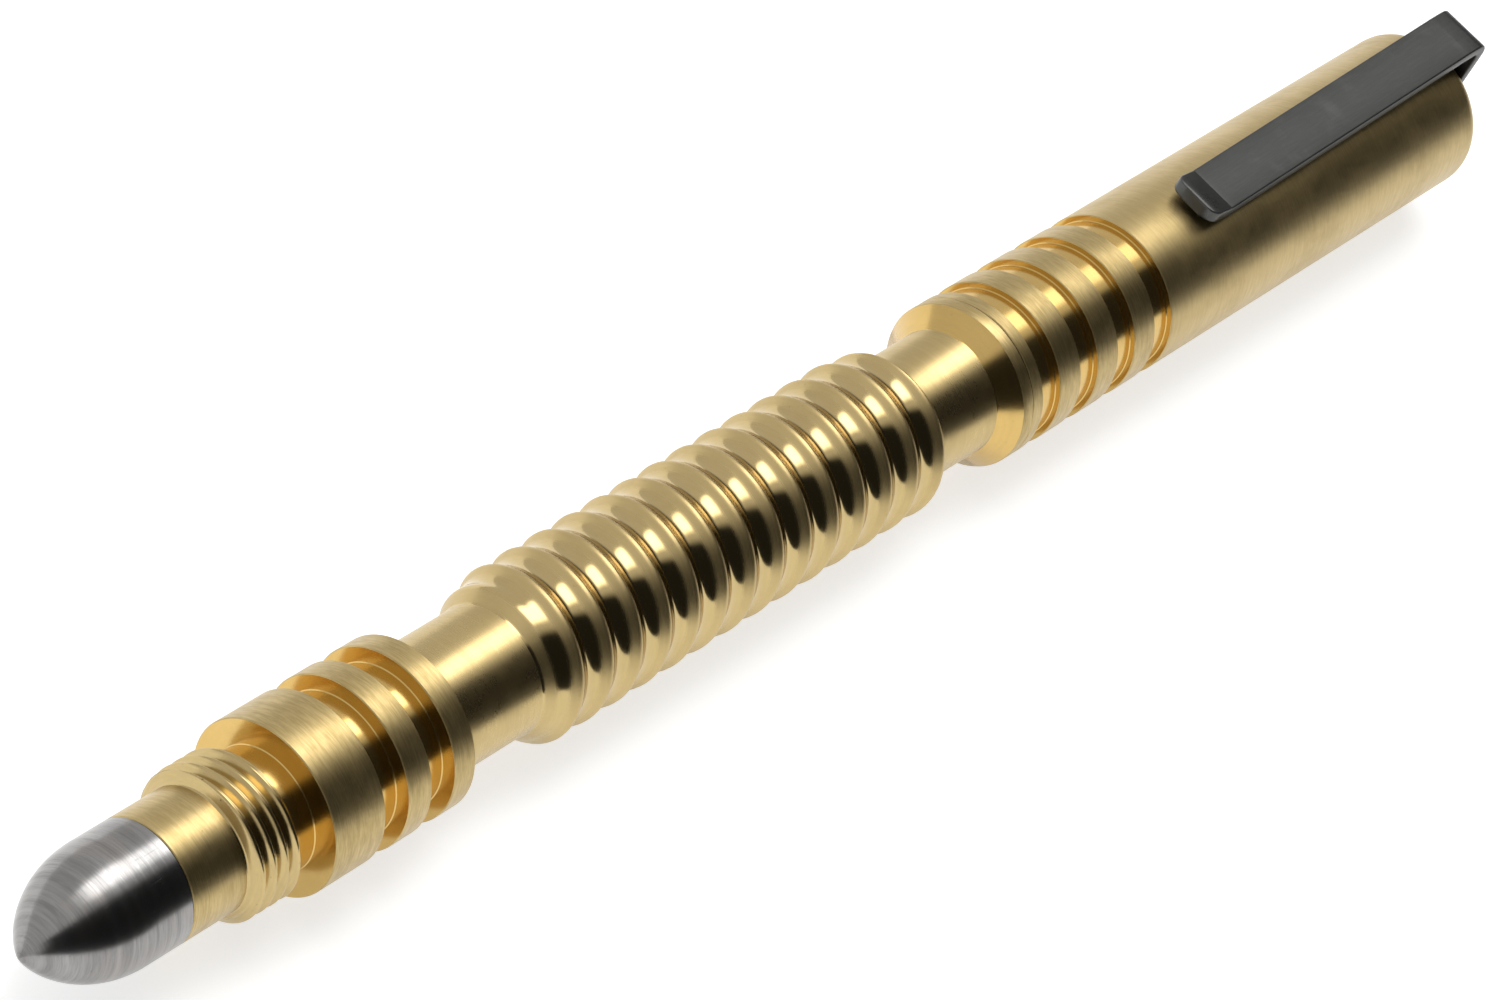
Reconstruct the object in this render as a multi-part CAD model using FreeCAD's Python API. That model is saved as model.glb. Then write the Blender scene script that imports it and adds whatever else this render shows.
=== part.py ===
"""Machined brass pen with a hardened striking tip, a ribbed grip and a screw cap with a clip.

Stations are millimetres along the pen, measured from the striking point towards the cap's end.
The pen lies along +X with the clip on top, and is moved to its resting place when it is written out.
"""
import FreeCAD, Part
import math
import os

V = FreeCAD.Vector
X_AXIS = V(1, 0, 0)

# ---- fits ----
running_gap = 0.05           # radial clearance of everything that turns or slides in a bore
seam_gap = 0.06              # axial gap between faces of different moving pieces

# ---- barrel, outside ----
bar_radius = 6.35            # turned from half-inch bar
boss_radius = 4.56
boss_length = 4.71
thread_radius = 5.50
thread_pitch = 25.4 / 24
thread_depth = 0.60
thread_space = 0.88          # share of the pitch that the groove takes at the crests
thread_root = 0.10
thread_above = 0.10          # how far the cutting shapes of threads stand out past the crests
thread_lead_in = 0.35
post_thread_length = 4.04
relief_radius = 4.48
relief_length = 2.15
collar_lands = (4.59, 2.17, 1.95)
collar_groove_width = 2.20
collar_groove_depth = 1.15
neck_radius = 4.83
rear_neck_length = 8.30
grip_radius = 6.26
grip_cone_length = 1.95
grip_length = 39.90
grip_end_chamfer = 0.60
rib_pitch = 2.96
rib_groove_radius = 1.50
rib_groove_depth = 0.65
rib_groove_above = 0.15      # how far the cutting shape stands out past the ribs
rib_end_land = 0.15          # plain land left between the groove and each end of the grip
rib_phase = 0.90             # from the cone's top to the first crest, on the clip's side
seam_turn = 17.0             # degrees from a turned face's seam line to the start of a helix
front_neck_length = 7.06
flange_cone_length = 1.23
flange_land = 1.05

# ---- barrel, under the cap ----
front_thread_relief = 1.30
front_thread_length = 4.00
seal_boss_radius = 5.10
seal_boss_length = 3.40
seal_section_radius = 0.50
seal_proud = 0.20            # how far the seal stands above its boss
seal_groove_side = 0.10
nose_wall = 1.33
nose_length = 10.00
nose_taper_length = 16.00
nose_end_wall = 0.73

# ---- refill and the bore that holds it ----
refill_radius = 2.95
refill_length = 98.0
refill_stickout = 3.20
refill_point_length = 14.0
refill_point_radius = 1.15
refill_wall = 0.25
refill_plug_length = 6.0
ball_radius = 0.50
ball_proud = 0.20
ball_rim = 0.12              # wall that holds the ball, and how far it stops short of it
refill_taper_length = 2.20
refill_shoulder = 1.00       # closed end of the tube, ahead of its hollow
refill_point_seat = 2.00     # how deep the point is pressed into the tube
bore_clearance = 0.12

# ---- striking tip ----
tip_length = 10.75
ogive_length = 7.63
shank_length = 7.00
tip_seal_section_radius = 0.45
spring_wire_radius = 0.25
spring_coils = 6
spring_gap = 0.10

# ---- cap ----
cap_length = 57.40
cap_mouth_chamfer = 0.10
cap_first_land = 1.10
cap_groove_count = 4
cap_groove_width = 2.05
cap_groove_pitch = 4.50
cap_groove_depth = 0.50
cap_end_wall = 9.00
cap_end_round = 1.30
cap_seal_clearance = 0.05
cap_thread_clearance = 0.10

# ---- clip ----
clip_width = 4.20
clip_thickness = 1.00
clip_height = 2.95           # top of the arm's root above the cap
clip_reach = 34.70           # end face of the cap to the tip of the lip
clip_foot_drop = 3.00        # foot below the pen's axis
clip_bend_radius = 1.00
clip_root_length = 2.00
clip_lip_length = 2.60
clip_lip_rise = 0.55
screw_radius = 1.25
screw_head_radius = 2.10
screw_length = 7.00
screw_socket_radius = 0.75
screw_socket_depth = 0.60

# ---- stations worked out from the sizes above ----
boss_start = tip_length
thread_start = boss_start + boss_length
thread_end = thread_start + post_thread_length
collar_start = thread_end + relief_length
collar_length = sum(collar_lands) + (len(collar_lands) - 1) * collar_groove_width
collar_end = collar_start + collar_length
grip_start = collar_end + rear_neck_length
ribs_start = grip_start + grip_cone_length
grip_end = ribs_start + grip_length
flange_start = grip_end + front_neck_length
flange_end = flange_start + flange_cone_length + flange_land
front_thread_start = flange_end + front_thread_relief
front_thread_end = front_thread_start + front_thread_length
seal_boss_end = front_thread_end + seal_boss_length
nose_taper_start = seal_boss_end + nose_length
nose_end = nose_taper_start + nose_taper_length
point_station = nose_end + refill_stickout
bore_radius = refill_radius + bore_clearance
nose_radius = bore_radius + nose_wall
nose_end_radius = refill_point_radius + bore_clearance + nose_end_wall
cap_start = flange_end + seam_gap
cap_end = cap_start + cap_length
cap_thread_bore = thread_radius + cap_thread_clearance
seal_outer_radius = seal_boss_radius + seal_proud
cap_bore_radius = seal_outer_radius + cap_seal_clearance
pen_length = cap_end + clip_thickness


def turned(outline):
    """A solid of revolution about the pen's axis from (station, radius) corners."""
    corners = [V(station, radius, 0) for station, radius in outline]
    return Part.Face(Part.makePolygon(corners + corners[:1])).revolve(V(0, 0, 0), X_AXIS, 360)


def rod(start, end, radius):
    return Part.makeCylinder(radius, end - start, V(start, 0, 0), X_AXIS)


def ring_of_wire(station, ring_radius, section_radius):
    return Part.makeTorus(ring_radius, section_radius, V(station, 0, 0), X_AXIS)


def swept_helix(profile, start, length, radius, pitch, turn, left_handed=False):
    """Sweeps a wire, drawn in the XZ plane for a helix about Z, then lays the helix along the pen.

    The turn, in degrees about the axis, keeps the helix's start off the seam line of a turned face,
    because a helix that starts there can't be cut from it.
    """
    helix = Part.makeHelix(pitch, length, radius, 0, left_handed)
    solid = Part.Wire(helix.Edges).makePipeShell([profile], True, True)
    solid.rotate(V(0, 0, 0), V(0, 1, 0), 90)
    solid.rotate(V(0, 0, 0), X_AXIS, turn)
    solid.translate(V(start, 0, 0))
    return solid


def round_wire(centre_radius, wire_radius):
    circle = Part.makeCircle(wire_radius, V(centre_radius, 0, 0), V(0, 1, 0))
    return Part.Wire([circle])


def thread_groove(start, length):
    """The V-shaped space between the crests of an outside thread, inside its own length."""
    half = thread_pitch * thread_space / 2
    floor = thread_radius - thread_depth
    outside = thread_radius + thread_above
    opening = half * (outside - floor) / thread_depth
    corners = [V(floor, 0, -thread_root / 2), V(floor, 0, thread_root / 2)]
    corners += [V(outside, 0, opening), V(outside, 0, -opening)]
    profile = Part.makePolygon(corners + corners[:1])
    run = length - 2 * (thread_lead_in + thread_root)
    return swept_helix(profile, start + (length - run) / 2, run, floor, thread_pitch, seam_turn)


def rib_groove():
    """The left-hand round groove that leaves the grip's ribs standing."""
    floor = grip_radius - rib_groove_depth
    outside = grip_radius + rib_groove_above
    half = math.sqrt(rib_groove_radius ** 2 - (rib_groove_radius + floor - outside) ** 2)
    lower, middle, upper = V(outside, 0, -half), V(floor, 0, 0), V(outside, 0, half)
    arc = Part.Arc(lower, middle, upper).toShape()
    profile = Part.Wire([arc, Part.LineSegment(upper, lower).toShape()])
    run_in = half + rib_end_land
    length = grip_length - 2 * run_in - grip_end_chamfer
    turn = 360 * ((rib_phase - run_in) / rib_pitch % 1)
    return swept_helix(profile, ribs_start + run_in, length, floor, rib_pitch, turn, True)


def rear_outline():
    """Boss, rear thread, collar, grip and flange, up to the front thread."""
    outline = [(boss_start, 0), (boss_start, boss_radius), (thread_start, boss_radius)]
    outline.append((thread_start + thread_lead_in, thread_radius))
    outline += [(thread_end, thread_radius), (thread_end + thread_lead_in, relief_radius)]
    outline.append((collar_start, relief_radius))
    station = collar_start
    for index, land in enumerate(collar_lands):
        outline += [(station, bar_radius), (station + land, bar_radius)]
        station += land
        if index < len(collar_lands) - 1:
            floor = bar_radius - collar_groove_depth
            outline += [(station, floor), (station + collar_groove_width, floor)]
            station += collar_groove_width
    outline += [(collar_end, neck_radius), (grip_start, neck_radius)]
    outline += [(ribs_start, grip_radius), (grip_end - grip_end_chamfer, grip_radius)]
    outline += [(grip_end, grip_radius - grip_end_chamfer), (grip_end, neck_radius)]
    outline += [(flange_start, neck_radius), (flange_start + flange_cone_length, bar_radius)]
    outline += [(flange_end, bar_radius), (flange_end, relief_radius)]
    outline += [(front_thread_start, relief_radius), (front_thread_start, 0)]
    return outline


def nose_outline():
    """Seal boss and nose, ahead of the front thread."""
    outline = [(front_thread_end, 0), (front_thread_end, seal_boss_radius)]
    outline += [(seal_boss_end, seal_boss_radius), (seal_boss_end, nose_radius)]
    outline += [(nose_taper_start, nose_radius), (nose_end, nose_end_radius), (nose_end, 0)]
    return outline


def seal_station():
    return (front_thread_end + seal_boss_end) / 2


def seal_ring_radius():
    return seal_outer_radius - seal_section_radius


def make_barrel():
    rear = turned(rear_outline())
    rear = rear.cut(thread_groove(thread_start, post_thread_length))
    rear = rear.cut(rib_groove())
    front_thread = rod(front_thread_start, front_thread_end, thread_radius)
    front_thread = front_thread.cut(thread_groove(front_thread_start, front_thread_length))
    barrel = rear.fuse([front_thread, turned(nose_outline())])
    bore_end = point_station - refill_point_length + bore_clearance
    barrel = barrel.cut(rod(boss_start, bore_end, bore_radius))
    barrel = barrel.cut(rod(bore_end, nose_end, refill_point_radius + bore_clearance))
    half_groove = seal_section_radius + seal_groove_side
    floor = seal_ring_radius() - seal_section_radius - running_gap
    centre = seal_station()
    groove = rod(centre - half_groove, centre + half_groove, bar_radius)
    return barrel.cut(groove.cut(rod(centre - half_groove, centre + half_groove, floor)))


def make_striking_tip():
    """Steel ogive, ground to a point, with a shank that screws into the barrel's bore."""
    arc_radius = (boss_radius ** 2 + ogive_length ** 2) / (2 * boss_radius)
    arc_centre = V(ogive_length, boss_radius - arc_radius, 0)
    middle_angle = math.radians(90) + math.asin(ogive_length / arc_radius) / 2
    middle = arc_centre + V(math.cos(middle_angle), math.sin(middle_angle), 0) * arc_radius
    point, shoulder = V(0, 0, 0), V(ogive_length, boss_radius, 0)
    nose = Part.Arc(point, middle, shoulder).toShape()
    head_end = tip_length - seam_gap
    shank_radius = bore_radius - running_gap
    corners = [shoulder, V(head_end, boss_radius, 0), V(head_end, shank_radius, 0)]
    corners += [V(tip_length + shank_length, shank_radius, 0), V(tip_length + shank_length, 0, 0), point]
    sides = Part.makePolygon(corners).Edges
    tip = Part.Face(Part.Wire([nose] + sides)).revolve(V(0, 0, 0), X_AXIS, 360)
    half_groove = tip_seal_section_radius + seal_groove_side
    centre = tip_seal_station()
    floor = tip_seal_ring_radius() - tip_seal_section_radius - running_gap
    groove = rod(centre - half_groove, centre + half_groove, bore_radius)
    return tip.cut(groove.cut(rod(centre - half_groove, centre + half_groove, floor)))


def tip_seal_station():
    return tip_length + shank_length / 3


def tip_seal_ring_radius():
    return bore_radius - running_gap - tip_seal_section_radius


def make_refill():
    """Tube, tail plug, writing point and ball of a standard large ballpoint refill."""
    tail = point_station - refill_length
    tube_end = point_station - refill_point_length
    tube = rod(tail + refill_plug_length / 2, tube_end, refill_radius)
    tube = tube.cut(rod(tail, tube_end - refill_shoulder, refill_radius - refill_wall))
    seat = tube_end - refill_point_seat
    tube = tube.cut(rod(seat, tube_end, refill_point_radius))
    plug = rod(tail, tail + refill_plug_length / 2, refill_radius)
    plug = plug.fuse(rod(tail, tail + refill_plug_length, refill_radius - refill_wall))
    ball_centre = point_station - ball_radius
    rim = ball_centre + ball_radius - ball_proud - ball_rim
    outline = [(seat, 0), (seat, refill_point_radius)]
    outline += [(rim - refill_taper_length, refill_point_radius), (rim, ball_radius + ball_rim), (rim, 0)]
    point = turned(outline).cut(Part.makeSphere(ball_radius + running_gap, V(ball_centre, 0, 0)))
    ball = Part.makeSphere(ball_radius, V(ball_centre, 0, 0))
    return {"refill_tube": tube, "refill_plug": plug, "refill_point": point, "writing_ball": ball}


def make_spring():
    start = tip_length + shank_length + spring_gap + spring_wire_radius
    end = point_station - refill_length - spring_gap - spring_wire_radius
    coil_radius = refill_radius - spring_wire_radius - spring_gap
    profile = round_wire(coil_radius, spring_wire_radius)
    pitch = (end - start) / spring_coils
    return swept_helix(profile, start, end - start, coil_radius, pitch, seam_turn)


def make_cap():
    """Tube with a closed end: grooves outside, a bore over the barrel's front thread and nose inside."""
    outline = [(cap_start, 0), (cap_start, bar_radius - cap_mouth_chamfer)]
    outline += [(cap_start + cap_mouth_chamfer, bar_radius)]
    floor = bar_radius - cap_groove_depth
    for index in range(cap_groove_count):
        groove = cap_start + cap_first_land + index * cap_groove_pitch
        outline += [(groove, bar_radius), (groove, floor)]
        outline += [(groove + cap_groove_width, floor), (groove + cap_groove_width, bar_radius)]
    outline += [(cap_end, bar_radius), (cap_end, 0)]
    cap = turned(outline)
    rim = [edge for edge in cap.Edges if abs(edge.BoundBox.XMin - cap_end) < 1e-6]
    cap = cap.makeFillet(cap_end_round, [edge for edge in rim if abs(edge.BoundBox.XMax - cap_end) < 1e-6])
    cap = cap.cut(rod(cap_start, cap_end - cap_end_wall, cap_bore_radius))
    cap = cap.cut(rod(cap_start, front_thread_end + seam_gap, cap_thread_bore))
    return cap.cut(rod(cap_end - screw_length - seam_gap, cap_end, screw_radius))


def strip(path):
    """A bent strip as wide as the clip, from its side outline of (station, height) corners."""
    corners = [V(station, -clip_width / 2, height) for station, height in path]
    return Part.Face(Part.makePolygon(corners + corners[:1])).extrude(V(0, clip_width, 0))


def clip_root_station():
    return cap_end - clip_root_length


def make_clip_foot():
    top = bar_radius + clip_height
    back = cap_end + clip_thickness
    root = clip_root_station()
    path = [(root, top), (back, top), (back, -clip_foot_drop), (cap_end, -clip_foot_drop)]
    path += [(cap_end, top - clip_thickness), (root, top - clip_thickness)]
    foot = strip(path)
    outer = [edge for edge in foot.Edges if is_corner(edge, back, top)]
    foot = foot.makeFillet(clip_bend_radius, outer)
    hole = rod(cap_end, back, screw_radius + running_gap)
    sink = Part.makeCone(screw_radius + running_gap, screw_head_radius + running_gap, clip_thickness)
    sink.rotate(V(0, 0, 0), V(0, 1, 0), 90)
    sink.translate(V(cap_end, 0, 0))
    return foot.cut(hole).cut(sink)


def is_corner(edge, station, height):
    box = edge.BoundBox
    return abs(box.XMin - station) + abs(box.XMax - station) + abs(box.ZMin - height) < 1e-6


def make_clip_arm():
    """The springy part of the clip: a straight arm, a contact bend and a lip turned up at its end."""
    top = bar_radius + clip_height
    root = clip_root_station() - seam_gap
    contact = cap_end - clip_reach + clip_lip_length
    lip = cap_end - clip_reach
    under = bar_radius + seam_gap
    path = [(root, top), (root, top - clip_thickness), (contact, under)]
    path += [(lip, under + clip_lip_rise), (lip, under + clip_lip_rise + clip_thickness)]
    path += [(contact, under + clip_thickness)]
    arm = strip(path)
    corners = [edge for edge in arm.Edges if is_upright(edge, lip)]
    return arm.makeFillet(clip_width / 4, corners)


def is_upright(edge, station):
    box = edge.BoundBox
    return box.XMax - station < 1e-6 and box.ZLength > clip_thickness / 2


def make_clip_screw():
    """Countersunk screw that holds the clip's foot on the cap's end."""
    back = cap_end + clip_thickness
    outline = [(cap_end - screw_length, 0), (cap_end - screw_length, screw_radius)]
    outline += [(cap_end, screw_radius), (back, screw_head_radius), (back, 0)]
    screw = turned(outline)
    corners = []
    for index in range(7):
        turn = math.radians(60 * index)
        corners.append(V(back, screw_socket_radius * math.cos(turn), screw_socket_radius * math.sin(turn)))
    socket = Part.Face(Part.makePolygon(corners)).extrude(V(-screw_socket_depth, 0, 0))
    return screw.cut(socket)


def make_parts():
    parts = {"barrel": make_barrel(), "striking_tip": make_striking_tip()}
    parts["tip_seal"] = ring_of_wire(tip_seal_station(), tip_seal_ring_radius(), tip_seal_section_radius)
    parts.update(make_refill())
    parts["refill_spring"] = make_spring()
    parts["cap_seal"] = ring_of_wire(seal_station(), seal_ring_radius(), seal_section_radius)
    parts["cap"] = make_cap()
    parts["clip_foot"] = make_clip_foot()
    parts["clip_arm"] = make_clip_arm()
    parts["clip_screw"] = make_clip_screw()
    return parts


def write_parts():
    """Lays the pen on the ground, centred under its own box, and writes one file for each piece."""
    os.makedirs("parts", exist_ok=True)
    for name, shape in make_parts().items():
        shape.translate(V(-pen_length / 2, 0, bar_radius))
        shape.exportStep("parts/" + name + ".step")
        print(name, len(shape.Solids), shape.isValid(), round(shape.Volume, 2))


write_parts()
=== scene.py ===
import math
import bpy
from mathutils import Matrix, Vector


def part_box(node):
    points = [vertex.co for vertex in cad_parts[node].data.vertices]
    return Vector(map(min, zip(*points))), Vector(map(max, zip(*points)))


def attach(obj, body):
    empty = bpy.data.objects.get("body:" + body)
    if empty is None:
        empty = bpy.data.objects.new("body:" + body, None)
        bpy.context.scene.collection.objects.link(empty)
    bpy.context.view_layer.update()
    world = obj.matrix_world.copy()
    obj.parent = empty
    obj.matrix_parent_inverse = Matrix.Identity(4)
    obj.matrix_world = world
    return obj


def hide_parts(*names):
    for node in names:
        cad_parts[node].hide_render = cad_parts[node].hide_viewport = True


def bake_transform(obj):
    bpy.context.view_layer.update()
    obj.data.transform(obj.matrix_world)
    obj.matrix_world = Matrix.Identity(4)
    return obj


bl_info = {
    "name": "Turned Pen",
    "version": (1, 0, 0),
    "blender": (4, 5, 0),
    "location": "3D View > Sidebar > Turned Pen",
    "description": "Builds a turned brass pen with a steel striking tip, a ribbed grip and a clipped cap",
    "category": "Add Mesh",
}

import bmesh
import bpy
from bpy.props import FloatProperty, FloatVectorProperty, IntProperty, PointerProperty
from mathutils import Matrix, Vector

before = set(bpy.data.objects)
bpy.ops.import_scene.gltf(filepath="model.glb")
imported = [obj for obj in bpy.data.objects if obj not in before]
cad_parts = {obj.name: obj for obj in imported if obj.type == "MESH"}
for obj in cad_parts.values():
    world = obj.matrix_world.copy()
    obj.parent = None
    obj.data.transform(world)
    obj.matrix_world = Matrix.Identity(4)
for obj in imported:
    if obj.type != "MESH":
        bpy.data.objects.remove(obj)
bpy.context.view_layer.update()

MM = 0.001
POINT_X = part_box("striking_tip")[0].x              # station 0, at the striking point
AXIS_Z = (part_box("cap")[0].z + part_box("cap")[1].z) / 2


def station_of(x):
    """How far along the pen, in millimetres from the striking point, a place in the frame lies."""
    return (x - POINT_X) / MM


# Stations of the pen, in millimetres from the striking point.
BOSS_START = round(station_of(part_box("barrel")[0].x), 2)
NOSE_END = round(station_of(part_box("barrel")[1].x), 2)
CAP_START = round(station_of(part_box("cap")[0].x), 2)
CAP_END = round(station_of(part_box("cap")[1].x), 2)
CLIP_END = round(station_of(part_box("clip_foot")[1].x), 2)
LIP_END = round(station_of(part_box("clip_arm")[0].x), 2)
CLIP_ROOT = round(station_of(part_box("clip_foot")[0].x), 2)
THREAD_START = BOSS_START + 4.71
THREAD_END = THREAD_START + 4.04
COLLAR_START = THREAD_END + 2.15
COLLAR_LANDS = (4.59, 2.17, 1.95)
COLLAR_GROOVE = 2.20
COLLAR_END = COLLAR_START + sum(COLLAR_LANDS) + 2 * COLLAR_GROOVE
GRIP_START = COLLAR_END + 8.30
RIBS_START = GRIP_START + 1.95
GRIP_END = RIBS_START + 39.90
FLANGE_START = GRIP_END + 7.06
FLANGE_EDGE = FLANGE_START + 1.23
FLANGE_END = FLANGE_EDGE + 1.05
FRONT_THREAD_START = FLANGE_END + 1.30
FRONT_THREAD_END = FRONT_THREAD_START + 4.00
SEAL_BOSS_END = FRONT_THREAD_END + 3.40
CAP_SEAL = (FRONT_THREAD_END + SEAL_BOSS_END) / 2
NOSE_TAPER = NOSE_END - 16.00
POINT_SEAT = NOSE_END - 10.68
SHANK = 7.00
SHANK_END = BOSS_START + SHANK
TIP_SEAL = BOSS_START + SHANK / 3
OGIVE = 7.63
SCREW_LENGTH = 7.00
FIRST_RIB = 0.90               # from the start of the ribs to the first crest, on the clip's side
THREAD_TURN = 163.0            # degrees round the pen, from the top, where a thread starts
LEAD_IN = 0.35                 # chamfer at each end of a thread
GAP = 0.06                     # between faces of pieces that move apart

# Radii, depths and thicknesses, in millimetres.
BAR = 6.35
BOSS = 4.56
THREAD = 5.50
RELIEF = 4.48
GROOVE = 5.20
NECK = 4.83
GRIP = 6.26
GRIP_CHAMFER = 0.60
BORE = 3.07
RUNNING_GAP = 0.05
POINT_BORE = 1.27
NOSE = 4.40
NOSE_TIP = 2.00
SEAL_BOSS = 5.10
SEAL_FLOOR = 4.25
SEAL_GROOVE = 0.60             # half the width of the groove under the cap's seal
TIP_SEAL_FLOOR = 2.07
TIP_SEAL_GROOVE = 0.55         # half the width of the groove under the tip's seal
CAP_MOUTH = 5.60
CAP_BORE = 5.35
CAP_ROUND = 1.30
CAP_GROOVES = 4
CAP_GROOVE_WIDTH = 2.05
CAP_GROOVE_DEPTH = 0.50
CAP_GROOVE_PITCH = 4.50
CAP_FIRST_LAND = 1.10
CAP_END_WALL = 9.00
SCREW = 1.25
SCREW_HEAD = 2.10
SOCKET = 0.75
SOCKET_DEPTH = 0.60
POINT = 1.15
BALL = 0.50
CLIP_HALF = 0.50               # half the clip's thickness
CLIP_HALF_WIDTH = 2.10
LIP_LENGTH = 2.60
LIP_RISE = 0.55


class TurnedPenMetal(bpy.types.PropertyGroup):
    """Colours and finish of the metal."""

    pale_brass: FloatVectorProperty(
        name="Pale Brass", description="Colour of the brushed and polished outside of the brass",
        subtype="COLOR", size=3, min=0, max=1, default=(0.555, 0.425, 0.20))
    # Deep Brass is partly the grooves' own deeper tone and partly a painted reflection of brass in brass
    # there; the writing point uses it too.
    deep_brass_and_reflection: FloatVectorProperty(
        name="Deep Brass", description="Colour of the brass inside the turned grooves",
        subtype="COLOR", size=3, min=0, max=1, default=(0.66, 0.455, 0.16))
    steel: FloatVectorProperty(
        name="Steel", description="Colour of the striking tip",
        subtype="COLOR", size=3, min=0, max=1, default=(0.33, 0.325, 0.32))
    clip_coat: FloatVectorProperty(
        name="Clip Coat", description="Colour of the dark coat on the clip",
        subtype="COLOR", size=3, min=0, max=1, default=(0.046, 0.047, 0.045))
    ring_depth: FloatProperty(
        name="Ring Depth", description="Depth of the tool and brush marks that run round the pen",
        subtype="FACTOR", min=0, max=1, default=0.5)


class TurnedPenShape(bpy.types.PropertyGroup):
    """Sizes of the ribs, threads and eased edges."""

    rib_pitch: FloatProperty(
        name="Rib Pitch", description="Distance from one rib to the next along the grip",
        unit="LENGTH", min=0.001, default=2.96 * MM)
    rib_depth: FloatProperty(
        name="Rib Depth", description="Depth of the round groove between two ribs",
        unit="LENGTH", min=0, default=0.65 * MM)
    rib_radius: FloatProperty(
        name="Rib Groove Radius", description="Radius of the round groove between two ribs",
        unit="LENGTH", min=0.0005, default=1.5 * MM)
    rib_crest: FloatProperty(
        name="Rib Crest Easing", description="How far the crests of the ribs are rounded over",
        unit="LENGTH", min=0.00001, default=0.34 * MM)
    thread_pitch: FloatProperty(
        name="Thread Pitch", description="Distance from one thread to the next",
        unit="LENGTH", min=0.0002, default=25.4 / 24 * MM)
    thread_depth: FloatProperty(
        name="Thread Depth", description="Depth of the threads",
        unit="LENGTH", min=0, default=0.60 * MM)
    edge: FloatProperty(
        name="Eased Edge", description="Width of the small chamfer on turned edges",
        unit="LENGTH", min=0, default=0.07 * MM)
    columns: IntProperty(
        name="Columns", description="Faces round the pen", min=24, max=512, default=160)


class TurnedPenStudio(bpy.types.PropertyGroup):
    """The view of the pen and the light round it."""

    azimuth: FloatProperty(
        name="Azimuth", description="Direction in which the camera looks, round from +Y towards +X",
        subtype="ANGLE", default=math.radians(69.71))
    elevation: FloatProperty(
        name="Elevation", description="How far down the camera looks",
        subtype="ANGLE", default=math.radians(45.0))
    roll: FloatProperty(
        name="Roll", description="Tilt of the camera about its own line of sight",
        subtype="ANGLE", default=math.radians(31.01))
    distance: FloatProperty(
        name="Distance", description="From the camera to the pen's axis",
        unit="LENGTH", min=0.1, default=398.34 * MM)
    aim: FloatProperty(
        name="Aim", description="Place along the pen that the camera looks at, from the striking point",
        unit="LENGTH", default=70.14 * MM)
    lift: FloatProperty(
        name="Lift", description="How far the camera looks above the pen's axis",
        unit="LENGTH", default=0.746 * MM)
    lens: FloatProperty(
        name="Lens", description="Focal length of the camera", unit="CAMERA", min=10, default=137.92)
    strip: FloatProperty(
        name="Softbox", description="Brightness of the long soft light above the pen", min=0, default=3.3)
    room: FloatProperty(
        name="Room Light", description="Brightness of the wall behind the pen", min=0, default=0.74)
    shade: FloatProperty(
        name="Shade", description="Brightness of the unlit side of the room", min=0, default=0.018)
    paper: FloatVectorProperty(
        name="Paper", description="Colour of the surface that the pen lies on",
        subtype="COLOR", size=3, min=0, max=1, default=(0.62, 0.62, 0.62))


# ---------------------------------------------------------------- shading

class Strand:
    """A socket of a shader tree that can be added, multiplied and fed to other nodes."""

    def __init__(self, tree, socket=None):
        self.tree = tree
        self.socket = socket

    def node(self, kind, settings=None, inputs=None, output=0):
        """Adds any node: its settings first, then the values or links of its sockets.

        output says which of its outputs to go on with, by number or by name.
        """
        made = self.tree.nodes.new(kind)
        for name, value in (settings or {}).items():
            setattr(made, name, value)
        for name, value in (inputs or {}).items():
            if isinstance(value, Strand):
                self.tree.links.new(value.socket, made.inputs[name])
            else:
                made.inputs[name].default_value = value
        return Strand(self.tree, made.outputs[output]) if made.outputs else None

    def maths(self, operation, *others):
        return self.node("ShaderNodeMath", {"operation": operation}, dict(enumerate((self, *others))))

    def __add__(self, other):
        return self.maths("ADD", other)

    def __sub__(self, other):
        return self.maths("SUBTRACT", other)

    def __mul__(self, other):
        return self.maths("MULTIPLY", other)

    def __rsub__(self, other):
        return self.node("ShaderNodeMath", {"operation": "SUBTRACT"}, {0: other, 1: self})

    __radd__ = __add__
    __rmul__ = __mul__

    def span(self, low, high, to_low=0.0, to_high=1.0):
        """Carries low..high over to to_low..to_high, with soft ends."""
        settings = {"interpolation_type": "SMOOTHSTEP"}
        values = {"Value": self, "From Min": low, "From Max": high, "To Min": to_low, "To Max": to_high}
        return self.node("ShaderNodeMapRange", settings, values)

    def blend(self, first, second):
        """A colour between first and second, by this mask."""
        colours = [value if isinstance(value, Strand) else (*value, 1) for value in (first, second)]
        return self.node("ShaderNodeMix", {"data_type": "RGBA"}, {0: self, 6: colours[0], 7: colours[1]}, 2)

    def stretched(self, along, around, across=None):
        """Noise coordinates scaled along the pen and across it."""
        scale = (along, around, around if across is None else across)
        return self.node("ShaderNodeVectorMath", {"operation": "MULTIPLY"}, {0: self, 1: scale})

    def part(self, axis):
        """The X, Y or Z of a vector."""
        return self.node("ShaderNodeSeparateXYZ", None, {0: self}, axis)

    def noise(self, scale, detail=3.0, roughness=0.55):
        """Noise, with the scale in features to the metre."""
        inputs = {"Vector": self, "Scale": scale, "Detail": detail, "Roughness": roughness}
        return self.node("ShaderNodeTexNoise", None, inputs)


def new_material(name):
    """An empty material, its tree and a place on the object to draw from."""
    material = bpy.data.materials.new(name)
    material.use_nodes = True
    tree = material.node_tree
    tree.nodes.clear()
    place = Strand(tree).node("ShaderNodeTexCoord", output="Object")
    return material, tree, place


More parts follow.
